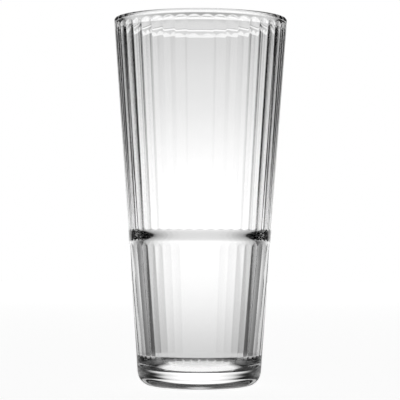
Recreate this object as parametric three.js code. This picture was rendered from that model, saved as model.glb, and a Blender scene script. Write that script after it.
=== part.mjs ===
import * as THREE from "three";

// Juice glass, pressed in one piece: a stacking tumbler with reeds on the inside of the wall.
// Millimetres, +Z up, the foot stands on z = 0 and the axis of the glass is the Z axis.

// Outside
const height = 156.5;
const rimRadius = 37;
const baseRadius = 25.9;
const heelRadius = 6.6;
const footInnerRadius = 18.5;
const footRecess = 0.65;

// Rim: an outer round, a crown that falls gently inwards, a flare and a plain band above the reeds
const rimOuterWidth = 0.7;
const rimOuterDrop = 1.1;
const rimCrownDrop = 0.86;
const flareSlope = 0.234;
const flareDrop = 1.4;
const bandStep = 0.14;

// Upper chamber: wall in the valleys between the reeds
const upperWallAtTop = 4;
const upperWallAtShoulder = 4.1;
const shoulderTop = 67.3;
const shoulderDrop = 6;

// Lower chamber
const lowerWallAtShoulder = 6.05;
const lowerWallAtDish = 7.35;
const dishEdgeHeight = 12.6;
const dishCentreHeight = 6.9;
const dishCornerRadius = 1.1;
const dishFlatness = 9;

// Reeds
const reedCount = 40;
const upperReedAtTop = 0.21;
const upperReedAtShoulder = 0.16;
const upperReedStart = 4.15;
const upperReedSlope = 0.17;
const lowerReedHeight = 0.07;
const lowerReedStart = 1.8;
const lowerReedRunout = 1.6;

// Fineness of the mesh
const columnsPerReed = 4;
const recessSteps = 3;
const heelSteps = 4;
const rimOuterSteps = 3;
const rimCrownSteps = 4;
const runoutSteps = 3;
const shoulderSteps = 6;
const dishSteps = 4;

const glass = new THREE.MeshStandardMaterial({
  name: "clear_glass",
  color: 0xf2f6f5,
  roughness: 0.05,
  transparent: true,
  opacity: 0.45,
});

const mix = THREE.MathUtils.lerp;
const wallSlope = (rimRadius - baseRadius) / height;
const outerRadius = (z) => baseRadius + wallSlope * z;

// Heights along the inside, from the rim down
const rimOuterEdge = height - rimOuterDrop;
const rimInnerEdge = height - rimCrownDrop;
const flareStart = height - flareDrop;
const upperReedFull = height - upperReedStart;
const upperReedTip = upperReedFull + (bandStep + upperReedAtTop) / upperReedSlope;
const shoulderBottom = shoulderTop - shoulderDrop;
const lowerReedFull = shoulderBottom - lowerReedStart;
const lowerReedTip = lowerReedFull + lowerReedRunout;
const dishCornerTop = dishEdgeHeight + dishCornerRadius;

const alongUpper = (z) => (z - shoulderTop) / (height - shoulderTop);

function upperValley(z) {
  return outerRadius(z) - mix(upperWallAtShoulder, upperWallAtTop, alongUpper(z));
}

function lowerValley(z) {
  const along = (z - dishEdgeHeight) / (shoulderBottom - dishEdgeHeight);
  return outerRadius(z) - mix(lowerWallAtDish, lowerWallAtShoulder, along);
}

// A reed stands in from the valley by a parabola; "across" goes from -1 in one valley to 1 in the next.
const arch = (across) => 1 - across * across;

// Above the shoulder the reeds end on a chamfer, under a plain band that flares towards the rim.
function upperInside(z, across) {
  const reed = arch(across) * mix(upperReedAtShoulder, upperReedAtTop, alongUpper(z));
  const reeded = upperValley(z) - reed + upperReedSlope * Math.max(0, z - upperReedFull);
  const band = upperValley(z) + bandStep + flareSlope * Math.max(0, z - flareStart);
  return z > upperReedFull ? Math.min(reeded, band) : reeded;
}

// Below the shoulder they run out into the plain wall.
function lowerInside(z, across) {
  const left = arch(across) - Math.max(0, z - lowerReedFull) / lowerReedRunout;
  return lowerValley(z) - lowerReedHeight * Math.max(0, left);
}

// The profile is a list of rings. Each ring has its height and its radius, plain or by the place across a reed.
const rings = [];
function ring(z, radius) {
  rings.push({ z, radius: typeof radius === "function" ? radius : () => radius });
}
function steps(count, place) {
  for (let i = 1; i <= count; i += 1) {
    place(i / count);
  }
}
const quarter = (t) => (t * Math.PI) / 2;

// Underside: a shallow recess, the flat foot ring and the round heel
const heelCentre = outerRadius(heelRadius) - heelRadius;
ring(footRecess, 0);
steps(recessSteps, (t) => ring(footRecess * (1 - t * t), footInnerRadius * t));
ring(0, heelCentre);
steps(heelSteps, (t) => {
  ring(heelRadius * (1 - Math.cos(quarter(t))), heelCentre + heelRadius * Math.sin(quarter(t)));
});

// Straight outer wall, the outer round of the rim and the crown
const rimTop = outerRadius(rimOuterEdge) - rimOuterWidth;
const crownWidth = rimTop - upperInside(rimInnerEdge, 1);
ring(rimOuterEdge, outerRadius(rimOuterEdge));
steps(rimOuterSteps, (t) => {
  ring(rimOuterEdge + rimOuterDrop * Math.sin(quarter(t)), rimTop + rimOuterWidth * Math.cos(quarter(t)));
});
steps(rimCrownSteps, (t) => {
  ring(rimInnerEdge + rimCrownDrop * Math.cos(quarter(t)), rimTop - crownWidth * Math.sin(quarter(t)));
});

// Upper chamber: flare, band, chamfered ends of the reeds, reeds
const upperWall = (z) => ring(z, (across) => upperInside(z, across));
upperWall(flareStart);
upperWall(upperReedTip);
steps(runoutSteps, (t) => upperWall(mix(upperReedTip, upperReedFull, t)));
upperWall(shoulderTop);

// Shoulder: a smooth S from the upper valley radius to the lower one, in which the reeds disappear
steps(shoulderSteps, (t) => {
  const z = mix(shoulderTop, shoulderBottom, t);
  const eased = THREE.MathUtils.smoothstep(t, 0, 1);
  const plain = mix(upperValley(shoulderTop), lowerValley(shoulderBottom), eased);
  ring(z, (across) => Math.min(plain, upperInside(z, across)));
});

// Lower chamber down to the corner of the dish
const lowerWall = (z) => ring(z, (across) => lowerInside(z, across));
lowerWall(lowerReedTip);
steps(runoutSteps, (t) => lowerWall(mix(lowerReedTip, lowerReedFull, t)));
lowerWall(dishCornerTop);

// Dish: a small corner arc that ends on the slope of the dish's edge, then a flat-bottomed bowl to the middle
const dishDepth = dishEdgeHeight - dishCentreHeight;
const cornerCentre = lowerValley(dishCornerTop) - dishCornerRadius;
const dishEdgeSlope = Math.atan((dishFlatness * dishDepth) / cornerCentre);
const cornerTurn = Math.PI / 2 - dishEdgeSlope;
const dishTop = dishCornerTop - dishCornerRadius * Math.sin(cornerTurn);
const dishRadius = cornerCentre + dishCornerRadius * Math.cos(cornerTurn);
ring(dishTop, (across) => Math.min(dishRadius, lowerInside(dishTop, across)));
steps(dishSteps, (t) => {
  const inward = 1 - t * t;
  ring(mix(dishCentreHeight, dishTop, inward ** dishFlatness), dishRadius * inward);
});

// The lathe turns the valley profile; its inside is then moved in by the reeds.
function pressedBody() {
  const columns = reedCount * columnsPerReed;
  const profile = rings.map(({ z, radius }) => new THREE.Vector2(radius(1), z));
  const geometry = new THREE.LatheGeometry(profile, columns);
  const position = geometry.getAttribute("position");
  for (let column = 0; column <= columns; column += 1) {
    const across = ((column % columnsPerReed) / columnsPerReed) * 2 - 1;
    const turn = (column / columns) * 2 * Math.PI;
    rings.forEach(({ z, radius }, row) => {
      const r = radius(across);
      position.setXYZ(column * rings.length + row, r * Math.sin(turn), z, r * Math.cos(turn));
    });
  }
  geometry.rotateX(Math.PI / 2);
  geometry.computeVertexNormals();
  return geometry;
}

const part = new THREE.Group();
part.name = "juice_glass";
const body = new THREE.Mesh(pressedBody(), glass);
body.name = "glass_body";
part.add(body);

export default part;
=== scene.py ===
# Juice glass: the pressed glass body in full detail, its studio and the camera.
import math

import bmesh
import bpy
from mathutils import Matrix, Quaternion, Vector


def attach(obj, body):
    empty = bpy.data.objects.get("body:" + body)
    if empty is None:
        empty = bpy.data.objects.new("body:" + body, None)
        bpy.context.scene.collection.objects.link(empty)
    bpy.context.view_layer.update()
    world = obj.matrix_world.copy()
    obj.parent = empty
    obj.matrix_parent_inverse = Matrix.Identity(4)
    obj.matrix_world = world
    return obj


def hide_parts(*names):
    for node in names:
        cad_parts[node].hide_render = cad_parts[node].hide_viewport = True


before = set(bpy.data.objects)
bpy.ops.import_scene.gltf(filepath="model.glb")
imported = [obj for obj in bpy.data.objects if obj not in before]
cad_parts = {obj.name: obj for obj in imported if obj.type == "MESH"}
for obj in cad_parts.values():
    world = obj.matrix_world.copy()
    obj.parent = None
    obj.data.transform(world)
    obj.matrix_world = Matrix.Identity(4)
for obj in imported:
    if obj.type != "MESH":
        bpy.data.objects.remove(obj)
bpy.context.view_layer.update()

MM = 0.001
HALF_TURN = 180

# Outside of the glass, in millimetres
HEIGHT = 156.5
RIM_RADIUS = 37
BASE_RADIUS = 25.9
HEEL_RADIUS = 6.6
FOOT_INNER_RADIUS = 18.5
FOOT_RECESS = 0.65

# Rim: an outer round, a crown that falls gently inwards, a flare and a plain band above the reeds
RIM_OUTER_WIDTH = 0.7
RIM_OUTER_DROP = 1.1
RIM_CROWN_DROP = 0.86
FLARE_SLOPE = 0.234
FLARE_DROP = 1.4
BAND_STEP = 0.14

# Upper chamber: wall in the valleys between the reeds
UPPER_WALL_AT_TOP = 4
UPPER_WALL_AT_SHOULDER = 4.1
SHOULDER_TOP = 67.3
SHOULDER_DROP = 6

# Lower chamber
LOWER_WALL_AT_SHOULDER = 6.05
LOWER_WALL_AT_DISH = 7.35
DISH_EDGE_HEIGHT = 12.6
DISH_CENTRE_HEIGHT = 6.9
DISH_CORNER_RADIUS = 1.1
DISH_FLATNESS = 9

# Reeds: their heights, and how they end under the band and under the shoulder
REED_COUNT = 40
UPPER_REED_AT_TOP = 0.21
UPPER_REED_AT_SHOULDER = 0.16
UPPER_REED_START = 4.15
UPPER_REED_SLOPE = 0.17
LOWER_REED_HEIGHT = 0.07
LOWER_REED_START = 1.8
LOWER_REED_RUNOUT = 1.6

# Fineness of the mesh: columns to a reed and rings to each stretch of the profile
COLUMNS_PER_REED = 16
RECESS_RINGS = 8
HEEL_RINGS = 16
RIM_OUTER_RINGS = 10
RIM_CROWN_RINGS = 18
FLARE_RINGS = 8
CHAMFER_RINGS = 24
SHOULDER_RINGS = 20
PLAIN_RINGS = 2
RUNOUT_RINGS = 10
CORNER_RINGS = 8
DISH_RINGS = 16

# Small distances in the mesh, in millimetres; points within the margin of the outer wall belong to it
CLOSE_RING = 0.15
OUTSIDE_MARGIN = 1
MERGE_DISTANCE = 0.002

# Glass: scales are counts to the metre, the wave height is in metres. The film's roughness goes by
# the level of its patches, the foot's by metres above the floor.
GLASS_IOR = 1.52
WAVE_SCALE = 45
WAVE_DETAIL = 1
WAVE_HEIGHT = 0.00004
FILM_SCALE = 30
FILM_DETAIL = 4
FILM_ROUGHNESS = [(0.5, 0), (0.75, 0.02)]
SCRATCH_SCALE = 900
SCRATCH_DETAIL = 3
FOOT_ROUGHNESS = [(0, 0.5), (0.0003, 0.4), (0.001, 0)]
GLASS_BOUNCES = 32
GLOSS_BOUNCES = 16

# Camera, in millimetres and degrees
CAMERA_DISTANCE = 715
CAMERA_HEIGHT = 64.6
CAMERA_SIDE = 0.03
AIM_HEIGHT = 79.1
CAMERA_ROLL = 0.23
VIEW_WIDTH = 170.94
SENSOR_WIDTH = 36
CLIP_NEAR = 10
CLIP_FAR = 50000

# Studio, in metres, and the floor as the camera sees it: its own glow and the white that takes a shadow
STUDIO_RADIUS = 1.5
STUDIO_HEIGHT = 1.6
STUDIO_SIDES = 128
FLOOR_GLOW = 0.95
FLOOR_WHITE = 0.8

# Light that the studio gives to the glass, in pairs of a place and a level. Places are metres from
# the axis or above the floor, or degrees to the side from straight behind the glass. The top level
# is the one that a full ramp gives.
TOP_LEVEL = 2

# Wall: levels by height, shares of them by side, and how much the sides close in with each metre of height
WALL_LIGHT = [
    (0, 1.25), (0.1, 1.25), (0.147, 1.22), (0.177, 1.14), (0.201, 1.07),
    (0.225, 1), (0.248, 0.95), (0.272, 0.915), (0.296, 0.86), (0.32, 0.82),
    (0.345, 0.78), (0.365, 0.15), (0.5, 0.05), (0.8, 0.05), (0.9, 0.6),
]
WALL_SIDE = [
    (0, 1), (8, 1), (13, 0.97), (19, 0.92), (24, 0.85), (30, 0.75),
    (35, 0.64), (39, 0.48), (44, 0.27), (49, 0.1), (53, 0.03), (58, 0),
]
WALL_NARROWING = 4

# Floor behind the glass: levels by distance, which stay at nought near the foot as a painted shadow, shares
# of them by side, the distance at which the sides start to count, and how much they close in with each metre
# of distance
FLOOR_LIGHT = [
    (0, 0), (0.034, 0), (0.04, 0.3), (0.05, 0.72), (0.117, 0.7), (0.2, 0.78),
    (0.28, 0.86), (0.36, 0.93), (0.48, 1.02), (0.7, 1.11), (1.0, 1.16),
]
FLOOR_SIDE = [
    (0, 1), (8, 1), (20, 0.86), (32, 0.66), (45, 0.42),
    (58, 0.25), (72, 0.1), (90, 0.04), (110, 0),
]
FLOOR_SIDE_START = [(0.06, 0), (0.09, 1)]
FLOOR_NARROWING = 0.6

# The painted shadow round the foot, a dark ring in the floor's levels, is narrower at the sides
SHADOW_SIDE = [(40, 0), (65, 1)]
SHADOW_NARROWING = 0.25

# Floor in front of the glass: the side angles over which it starts, and levels by distance, kept low near
# the foot as painted shade
FRONT_START = [(88, 0), (100, 1)]
FRONT_LIGHT = [(0.025, 0), (0.027, 0.25), (0.034, 0.25), (0.045, 0.4), (0.35, 0.5), (1.1, 0)]

# Painted pool of light under the front of the glass, standing in for light that the glass focuses onto the
# floor: how far forward it lies, and levels from its middle out
POOL_FORWARD = 0.011
POOL_LIGHT = [(0.0215, 1), (0.0225, 0)]

# Heights and angles that follow from the sizes
WALL_SLOPE = (RIM_RADIUS - BASE_RADIUS) / HEIGHT
RIM_OUTER_EDGE = HEIGHT - RIM_OUTER_DROP
RIM_INNER_EDGE = HEIGHT - RIM_CROWN_DROP
FLARE_START = HEIGHT - FLARE_DROP
UPPER_REED_FULL = HEIGHT - UPPER_REED_START
SHOULDER_BOTTOM = SHOULDER_TOP - SHOULDER_DROP
LOWER_REED_FULL = SHOULDER_BOTTOM - LOWER_REED_START
LOWER_REED_TIP = LOWER_REED_FULL + LOWER_REED_RUNOUT
DISH_CORNER_TOP = DISH_EDGE_HEIGHT + DISH_CORNER_RADIUS
REED_ANGLE = 2 * math.pi / REED_COUNT


def mix(a, b, t):
    return a + (b - a) * t


def outer_radius(z):
    return BASE_RADIUS + WALL_SLOPE * z


def upper_valley(z):
    along = (z - SHOULDER_TOP) / (HEIGHT - SHOULDER_TOP)
    return outer_radius(z) - mix(UPPER_WALL_AT_SHOULDER, UPPER_WALL_AT_TOP, along)


def upper_inside(z, arch=0):
    """Inner radius above the shoulder; the arch is 0 in a valley and 1 on the crest of a reed.

    The reeds end on a chamfer, under a plain band that flares at the rim.
    """
    along = (z - SHOULDER_TOP) / (HEIGHT - SHOULDER_TOP)
    reed = arch * mix(UPPER_REED_AT_SHOULDER, UPPER_REED_AT_TOP, along)
    reeded = upper_valley(z) - reed + UPPER_REED_SLOPE * max(0, z - UPPER_REED_FULL)
    flare = FLARE_SLOPE * max(0, z - FLARE_START) ** 2 / (RIM_INNER_EDGE - FLARE_START)
    band = upper_valley(z) + BAND_STEP + flare
    return min(reeded, band) if z > UPPER_REED_FULL else reeded


def lower_valley(z):
    along = (z - DISH_EDGE_HEIGHT) / (SHOULDER_BOTTOM - DISH_EDGE_HEIGHT)
    return outer_radius(z) - mix(LOWER_WALL_AT_DISH, LOWER_WALL_AT_SHOULDER, along)


def body_profile():
    """Radius and height of the points along a valley, from under the foot, over the rim, to the dish."""
    points = [(0, FOOT_RECESS)]

    def rings(count, place):
        points.extend(place(i / count) for i in range(1, count + 1))

    def straight(radius_at, start, end):
        """A straight wall with a close ring at each end, so that its shading stays straight."""
        close = math.copysign(CLOSE_RING, end - start)
        points.extend((radius_at(z), z) for z in (start + close, (start + end) / 2, end - close, end))

    # Outside: recess, foot ring, heel, wall, rim
    heel_centre = outer_radius(HEEL_RADIUS) - HEEL_RADIUS
    rim_top = outer_radius(RIM_OUTER_EDGE) - RIM_OUTER_WIDTH
    crown_width = rim_top - upper_inside(RIM_INNER_EDGE)

    def recess(t):
        return FOOT_INNER_RADIUS * t, FOOT_RECESS * (1 - t * t)

    def heel(t):
        angle = t * math.pi / 2
        return heel_centre + HEEL_RADIUS * math.sin(angle), HEEL_RADIUS * (1 - math.cos(angle))

    def rim_outside(t):
        angle = t * math.pi / 2
        return (
            rim_top + RIM_OUTER_WIDTH * math.cos(angle),
            RIM_OUTER_EDGE + RIM_OUTER_DROP * math.sin(angle),
        )

    def rim_crown(t):
        angle = t * math.pi / 2
        return (
            rim_top - crown_width * math.sin(angle),
            RIM_INNER_EDGE + RIM_CROWN_DROP * math.cos(angle),
        )

    rings(RECESS_RINGS, recess)
    points.append((FOOT_INNER_RADIUS + CLOSE_RING, 0))
    points.append((heel_centre - CLOSE_RING, 0))
    points.append((heel_centre, 0))
    rings(HEEL_RINGS, heel)
    straight(outer_radius, HEEL_RADIUS, RIM_OUTER_EDGE)
    rings(RIM_OUTER_RINGS, rim_outside)
    rings(RIM_CROWN_RINGS, rim_crown)

    # Upper chamber: flare, band and chamfer over the reeds, reeds, shoulder
    def upper_wall(top, bottom):
        return lambda t: (upper_inside(mix(top, bottom, t)), mix(top, bottom, t))

    def shoulder(t):
        eased = t * t * (3 - 2 * t)
        radius = mix(upper_valley(SHOULDER_TOP), lower_valley(SHOULDER_BOTTOM), eased)
        return radius, mix(SHOULDER_TOP, SHOULDER_BOTTOM, t)

    rings(FLARE_RINGS, upper_wall(RIM_INNER_EDGE, FLARE_START))
    rings(CHAMFER_RINGS, upper_wall(FLARE_START, UPPER_REED_FULL))
    straight(upper_valley, UPPER_REED_FULL, SHOULDER_TOP)
    rings(SHOULDER_RINGS, shoulder)

    # Lower chamber: plain wall, run-out of the reeds, reeds, corner, dish
    def lower_wall(top, bottom):
        return lambda t: (lower_valley(mix(top, bottom, t)), mix(top, bottom, t))

    dish_depth = DISH_EDGE_HEIGHT - DISH_CENTRE_HEIGHT
    corner_centre = lower_valley(DISH_CORNER_TOP) - DISH_CORNER_RADIUS
    corner_turn = math.pi / 2 - math.atan(DISH_FLATNESS * dish_depth / corner_centre)

    def corner(t):
        angle = t * corner_turn
        return (
            corner_centre + DISH_CORNER_RADIUS * math.cos(angle),
            DISH_CORNER_TOP - DISH_CORNER_RADIUS * math.sin(angle),
        )

    dish_radius, dish_top = corner(1)

    def dish(t):
        inward = 1 - t
        return dish_radius * inward, mix(DISH_CENTRE_HEIGHT, dish_top, inward**DISH_FLATNESS)

    rings(PLAIN_RINGS, lower_wall(SHOULDER_BOTTOM, LOWER_REED_TIP))
    rings(RUNOUT_RINGS, lower_wall(LOWER_REED_TIP, LOWER_REED_FULL))
    straight(lower_valley, LOWER_REED_FULL, DISH_CORNER_TOP)
    rings(CORNER_RINGS, corner)
    rings(DISH_RINGS, dish)
    return points


def reed_depth(point):
    """How far a point of the plain sector moves towards the axis, in millimetres."""
    x, y, z = point / MM
    radius = math.hypot(x, y)
    if z < DISH_CENTRE_HEIGHT or z > RIM_INNER_EDGE or radius > outer_radius(z) - OUTSIDE_MARGIN:
        return 0
    across = 2 * math.atan2(y, x) / REED_ANGLE
    arch = 1 - across * across
    if z > SHOULDER_TOP:
        return upper_inside(z) - upper_inside(z, arch)
    if z > SHOULDER_BOTTOM:
        return max(0, radius - upper_inside(z, arch))
    rise = LOWER_REED_HEIGHT * max(0, arch - max(0, z - LOWER_REED_FULL) / LOWER_REED_RUNOUT)
    return max(0, min(rise, radius - lower_valley(z) + rise))


def make_glass_body():
    """One reed's width of the body is modelled and then turned round the axis."""
    bpy.ops.object.select_all(action="DESELECT")
    profile = body_profile()
    bpy.ops.mesh.primitive_plane_add(size=MM, location=(0, 0, profile[0][1] * MM))
    body = bpy.context.object
    body.name = "glass_body_pressed"
    bpy.ops.object.transform_apply(location=True, rotation=True, scale=True)

    # The profile lies in the first valley, half a reed to the side of the X axis
    bpy.ops.object.mode_set(mode="EDIT")
    bpy.ops.mesh.select_all(action="SELECT")
    bpy.ops.mesh.merge(type="CENTER")
    side = REED_ANGLE / 2
    for (r0, z0), (r1, z1) in zip(profile, profile[1:]):
        out = (r1 - r0) * MM
        move = (out * math.cos(side), out * math.sin(side), (z1 - z0) * MM)
        bpy.ops.mesh.extrude_vertices_move(TRANSFORM_OT_translate={"value": move})
    bpy.ops.mesh.select_all(action="SELECT")
    bpy.ops.mesh.spin(steps=COLUMNS_PER_REED, angle=REED_ANGLE, center=(0, 0, 0), axis=(0, 0, 1))
    bpy.ops.object.mode_set(mode="OBJECT")

    # The reed is pushed in by weight along X
    rise = max(UPPER_REED_AT_TOP, LOWER_REED_HEIGHT)
    group = body.vertex_groups.new(name="reed")
    for vertex in body.data.vertices:
        group.add([vertex.index], reed_depth(vertex.co) / rise, "REPLACE")
    push = body.modifiers.new("reed", "DISPLACE")
    push.direction = "X"
    push.mid_level = 0
    push.strength = -rise * MM
    push.vertex_group = group.name
    bpy.ops.object.modifier_apply(modifier=push.name)
    body.vertex_groups.clear()

    # All the reeds, closed into one skin that points outwards, with a valley on the X axis
    bpy.ops.object.mode_set(mode="EDIT")
    bpy.ops.mesh.select_all(action="SELECT")
    rest = (REED_COUNT - 1) * REED_ANGLE
    bpy.ops.mesh.spin(steps=REED_COUNT - 1, dupli=True, angle=rest, center=(0, 0, 0), axis=(0, 0, 1))
    bpy.ops.mesh.select_all(action="SELECT")
    bpy.ops.mesh.remove_doubles(threshold=MERGE_DISTANCE * MM)
    bpy.ops.mesh.normals_make_consistent(inside=False)
    bpy.ops.transform.rotate(value=REED_ANGLE / 2, orient_axis="Z", center_override=(0, 0, 0))
    bpy.ops.object.mode_set(mode="OBJECT")
    skin = bmesh.new()
    skin.from_mesh(body.data)
    inside_out = skin.calc_volume(signed=True) < 0
    skin.free()
    if inside_out:
        body.data.flip_normals()
    bpy.ops.object.shade_smooth()
    return body


class Socket:
    """A node's output that takes part in sums; each sum adds one Math node."""

    def __init__(self, shader, output):
        self.shader = shader
        self.output = output

    def also(self, name):
        """Another output of the same node."""
        return Socket(self.shader, self.output.node.outputs[name])

    def sum(self, operation, first, second):
        return self.shader.node("ShaderNodeMath", {"operation": operation}, {0: first, 1: second})

    def __add__(self, other):
        return self.sum("ADD", self, other)

    __radd__ = __add__

    def __mul__(self, other):
        return self.sum("MULTIPLY", self, other)

    __rmul__ = __mul__

    def __sub__(self, other):
        return self.sum("SUBTRACT", self, other)

    def __rsub__(self, other):
        return self.sum("SUBTRACT", other, self)

    def __truediv__(self, other):
        return self.sum("DIVIDE", self, other)

    def __rtruediv__(self, other):
        return self.sum("DIVIDE", other, self)

    def __abs__(self):
        return self.shader.node("ShaderNodeMath", {"operation": "ABSOLUTE"}, {0: self})


class Shader:
    """The node tree of a material or of the world."""

    def __init__(self, owner):
        owner.use_nodes = True
        self.tree = owner.node_tree
        self.tree.nodes.clear()

    def node(self, kind, settings=None, inputs=None):
        """Adds a node and gives its first output; an input is a socket to link or a value to set."""
        made = self.tree.nodes.new(kind)
        for name, value in (settings or {}).items():
            if name == "stops":
                stops = made.color_ramp.elements
                while len(stops) < len(value):
                    stops.new(1)
                for stop, (place, level) in zip(stops, value):
                    stop.position = place
                    stop.color = (level, level, level, 1)
            else:
                setattr(made, name, value)
        for name, value in (inputs or {}).items():
            socket = made.inputs[name]
            if isinstance(value, Socket):
                self.tree.links.new(value.output, socket)
            else:
                socket.default_value = value
        return Socket(self, made.outputs[0]) if made.outputs else None


def side_angle(shader, place):
    """Angle to the side from straight behind the glass, in degrees."""
    across = shader.node("ShaderNodeSeparateXYZ", inputs={0: place})
    turn = shader.node("ShaderNodeMath", {"operation": "ARCTAN2"}, {0: across, 1: across.also("Y")})
    return abs(turn) * math.degrees(1)


def ramp(shader, value, stops, span, top=1):
    """A level by place; the stops go up to the span, and the levels up to the top one."""
    scaled = [(place / span, level / top) for place, level in stops]
    return shader.node("ShaderNodeValToRGB", {"stops": scaled}, {"Fac": value / span})


def white_to_camera(shader, lit, seen):
    """What the camera sees directly is one shader, and what lights the glass is the other."""
    path = shader.node("ShaderNodeLightPath")
    return shader.node("ShaderNodeMixShader", inputs={0: path, 1: lit, 2: seen})


def clear_glass():
    """Pressed glass: faint waves from the mould, a faint film and a scratched foot ring."""
    material = bpy.data.materials.new("clear_glass_pressed")
    shader = Shader(material)
    place = shader.node("ShaderNodeTexCoord").also("Object")
    high = shader.node("ShaderNodeSeparateXYZ", inputs={0: place}).also("Z")

    def noise(scale, detail):
        return shader.node("ShaderNodeTexNoise", inputs={"Vector": place, "Scale": scale, "Detail": detail})

    waves = noise(WAVE_SCALE, WAVE_DETAIL)
    bump = shader.node("ShaderNodeBump", inputs={"Strength": 1, "Distance": WAVE_HEIGHT, "Height": waves})
    film = ramp(shader, noise(FILM_SCALE, FILM_DETAIL), FILM_ROUGHNESS, 1)
    worn = ramp(shader, high, FOOT_ROUGHNESS, HEIGHT * MM)
    glass = shader.node(
        "ShaderNodeBsdfPrincipled",
        inputs={
            "Base Color": (1, 1, 1, 1),
            "Roughness": film + worn * noise(SCRATCH_SCALE, SCRATCH_DETAIL),
            "IOR": GLASS_IOR,
            "Transmission Weight": 1,
            "Normal": bump,
        },
    )
    shader.node("ShaderNodeOutputMaterial", inputs={"Surface": glass})
    return material


def studio_floor():
    """White with a faint shadow to the camera; to the glass, light that fades sideways, with a painted
    shadow round the foot and a painted pool of light in front.
    """
    material = bpy.data.materials.new("studio_floor")
    shader = Shader(material)
    place = shader.node("ShaderNodeTexCoord").also("Object")
    distance = shader.node("ShaderNodeVectorMath", {"operation": "LENGTH"}, {0: place}).also("Value")
    angle = side_angle(shader, place)

    # Behind the glass, with the painted shadow ring round the foot
    stretched = distance * (1 + SHADOW_NARROWING * ramp(shader, angle, SHADOW_SIDE, HALF_TURN))
    level = ramp(shader, stretched, FLOOR_LIGHT, STUDIO_RADIUS, TOP_LEVEL)
    side = ramp(shader, angle * (1 + FLOOR_NARROWING * distance), FLOOR_SIDE, HALF_TURN)
    away = ramp(shader, distance, FLOOR_SIDE_START, STUDIO_RADIUS)
    behind = level * (1 - away * (1 - side))

    # In front of it, and the painted pool of light
    turned = ramp(shader, angle, FRONT_START, HALF_TURN)
    front = ramp(shader, distance, FRONT_LIGHT, STUDIO_RADIUS, TOP_LEVEL)
    from_pool = {0: place, 1: (0, -POOL_FORWARD, 0)}
    off_middle = shader.node("ShaderNodeVectorMath", {"operation": "DISTANCE"}, from_pool).also("Value")
    pool = ramp(shader, off_middle, POOL_LIGHT, STUDIO_RADIUS, TOP_LEVEL)

    # The light that the floor gives the glass carries the painted shadow and the painted pool of light
    light = behind * (1 - turned) + front * turned + pool
    lit = shader.node("ShaderNodeEmission", inputs={"Color": light, "Strength": TOP_LEVEL})
    glow = shader.node("ShaderNodeEmission", inputs={"Strength": FLOOR_GLOW})
    white = (FLOOR_WHITE, FLOOR_WHITE, FLOOR_WHITE, 1)
    matt = shader.node("ShaderNodeBsdfDiffuse", inputs={"Color": white})
    seen = shader.node("ShaderNodeAddShader", inputs={0: glow, 1: matt})
    shader.node("ShaderNodeOutputMaterial", inputs={"Surface": white_to_camera(shader, lit, seen)})
    return material


def studio_wall():
    """White to the camera; to the glass, light that changes with height and fades to the sides."""
    material = bpy.data.materials.new("studio_wall")
    shader = Shader(material)
    place = shader.node("ShaderNodeTexCoord").also("Object")
    high = shader.node("ShaderNodeSeparateXYZ", inputs={0: place}).also("Z")
    level = ramp(shader, high, WALL_LIGHT, STUDIO_HEIGHT, TOP_LEVEL)
    side = ramp(shader, side_angle(shader, place) * (1 + WALL_NARROWING * high), WALL_SIDE, HALF_TURN)
    lit = shader.node("ShaderNodeEmission", inputs={"Color": level * side, "Strength": TOP_LEVEL})
    seen = shader.node("ShaderNodeEmission", inputs={"Strength": 1})
    shader.node("ShaderNodeOutputMaterial", inputs={"Surface": white_to_camera(shader, lit, seen)})
    return material


def make_studio(camera):
    """A round floor with a glowing wall; the bright side turns to stay behind the glass."""
    bpy.ops.object.select_all(action="DESELECT")
    bpy.ops.mesh.primitive_circle_add(vertices=STUDIO_SIDES, radius=STUDIO_RADIUS, fill_type="NGON")
    studio = bpy.context.object
    studio.name = "studio"
    studio.data.materials.append(studio_floor())
    studio.data.materials.append(studio_wall())
    bpy.ops.object.mode_set(mode="EDIT")
    bpy.ops.mesh.select_all(action="SELECT")
    bpy.ops.mesh.extrude_region_move(TRANSFORM_OT_translate={"value": (0, 0, STUDIO_HEIGHT)})
    bpy.ops.mesh.delete(type="ONLY_FACE")
    bpy.ops.object.mode_set(mode="OBJECT")

    # The level face is the floor, the first material; the upright ones are the wall
    for face in studio.data.polygons:
        face.material_index = 1 - round(abs(face.normal.z))
    facing = studio.constraints.new("LOCKED_TRACK")
    facing.target = camera
    facing.track_axis = "TRACK_NEGATIVE_Y"
    facing.lock_axis = "LOCK_Z"


def make_camera():
    """A long lens straight in front of the glass, a little below its middle and looking slightly up."""
    data = bpy.data.cameras.new("camera")
    camera = bpy.data.objects.new("camera", data)
    bpy.context.collection.objects.link(camera)
    bpy.context.scene.camera = camera
    camera.location = Vector((CAMERA_SIDE, -CAMERA_DISTANCE, CAMERA_HEIGHT)) * MM
    aim = Vector((CAMERA_SIDE, 0, AIM_HEIGHT)) * MM - camera.location
    roll = Quaternion((0, 0, 1), math.radians(CAMERA_ROLL))
    camera.rotation_mode = "QUATERNION"
    camera.rotation_quaternion = aim.to_track_quat("-Z", "Y") @ roll
    data.sensor_width = SENSOR_WIDTH
    data.lens = SENSOR_WIDTH * CAMERA_DISTANCE / VIEW_WIDTH
    data.clip_start = CLIP_NEAR * MM
    data.clip_end = CLIP_FAR * MM
    return camera


def make_world():
    """White to the camera and dark to the glass."""
    world = bpy.data.worlds.new("studio_dark")
    bpy.context.scene.world = world
    shader = Shader(world)
    dark = shader.node("ShaderNodeBackground", inputs={"Color": (0, 0, 0, 1)})
    white = shader.node("ShaderNodeBackground", inputs={"Color": (1, 1, 1, 1)})
    shader.node("ShaderNodeOutputWorld", inputs={"Surface": white_to_camera(shader, dark, white)})


scene = bpy.context.scene
scene.view_settings.view_transform = "Standard"
scene.cycles.max_bounces = GLASS_BOUNCES
scene.cycles.transmission_bounces = GLASS_BOUNCES
scene.cycles.glossy_bounces = GLOSS_BOUNCES

glass_body = make_glass_body()
glass_body.data.materials.append(clear_glass())
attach(glass_body, "root")
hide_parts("glass_body")

make_studio(make_camera())
make_world()
